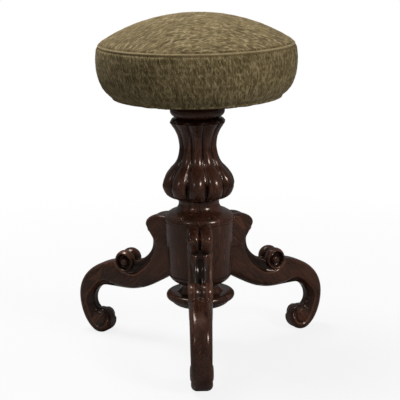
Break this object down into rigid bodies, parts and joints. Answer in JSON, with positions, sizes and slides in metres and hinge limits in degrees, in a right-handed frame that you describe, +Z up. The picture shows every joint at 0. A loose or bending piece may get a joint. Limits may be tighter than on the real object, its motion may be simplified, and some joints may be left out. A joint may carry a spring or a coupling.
{
  "type": "revolving piano stool",
  "caption": "Round stuffed seat on an iron screw that rises as it turns, over a lobed turned column on a drum with three carved scroll legs and a turned pendant.",
  "frame": {"origin": "on the floor, under the axis of the column", "axes": "+Z up along the column and the screw, -Y towards the front leg"},
  "size_m": [0.3906, 0.3731, 0.522],
  "materials": {
    "rosewood": "dark polished wood",
    "chenille": "crinkled olive chenille",
    "wadding": "cotton wadding",
    "hair": "curled hair",
    "pine": "bare pine",
    "beech": "bare beech",
    "black_cloth": "matt black cotton",
    "iron": "dark cast iron",
    "screw_iron": "turned and oiled iron",
    "blued_iron": "blued iron"
  },
  "bodies": {
    "base": {"column": "rosewood", "column_nut": "iron", "nut_screws": "blued_iron", "drum": "rosewood", "pendant": "rosewood", "front_leg": "rosewood", "right_leg": "rosewood", "left_leg": "rosewood", "front_leg_dowels": "beech", "right_leg_dowels": "beech", "left_leg_dowels": "beech"},
    "rise": {"seat_collar": "rosewood"},
    "seat": {"cover_top": "chenille", "cover_band": "chenille", "wadding": "wadding", "hair_stuffing": "hair", "seat_board": "pine", "bottoming": "black_cloth", "cover_tacks": "blued_iron", "screw_plate": "iron", "plate_screws": "blued_iron", "seat_screw": "screw_iron"}
  },
  "joints": [
    {"name": "seat_rise", "type": "slide", "parent": "base", "child": "rise", "axis": [0, 0, 1], "range_m": [0, 0.1]},
    {"name": "seat_turn", "type": "hinge", "parent": "rise", "child": "seat", "pos_m": [0, 0, 0.392], "axis": [0, 0, 1], "range_deg": [0, 5760]}
  ],
  "couplings": [
    {"joint": "seat_rise", "follows": "seat_turn", "m_per_rad": 0.00099472}
  ]
}
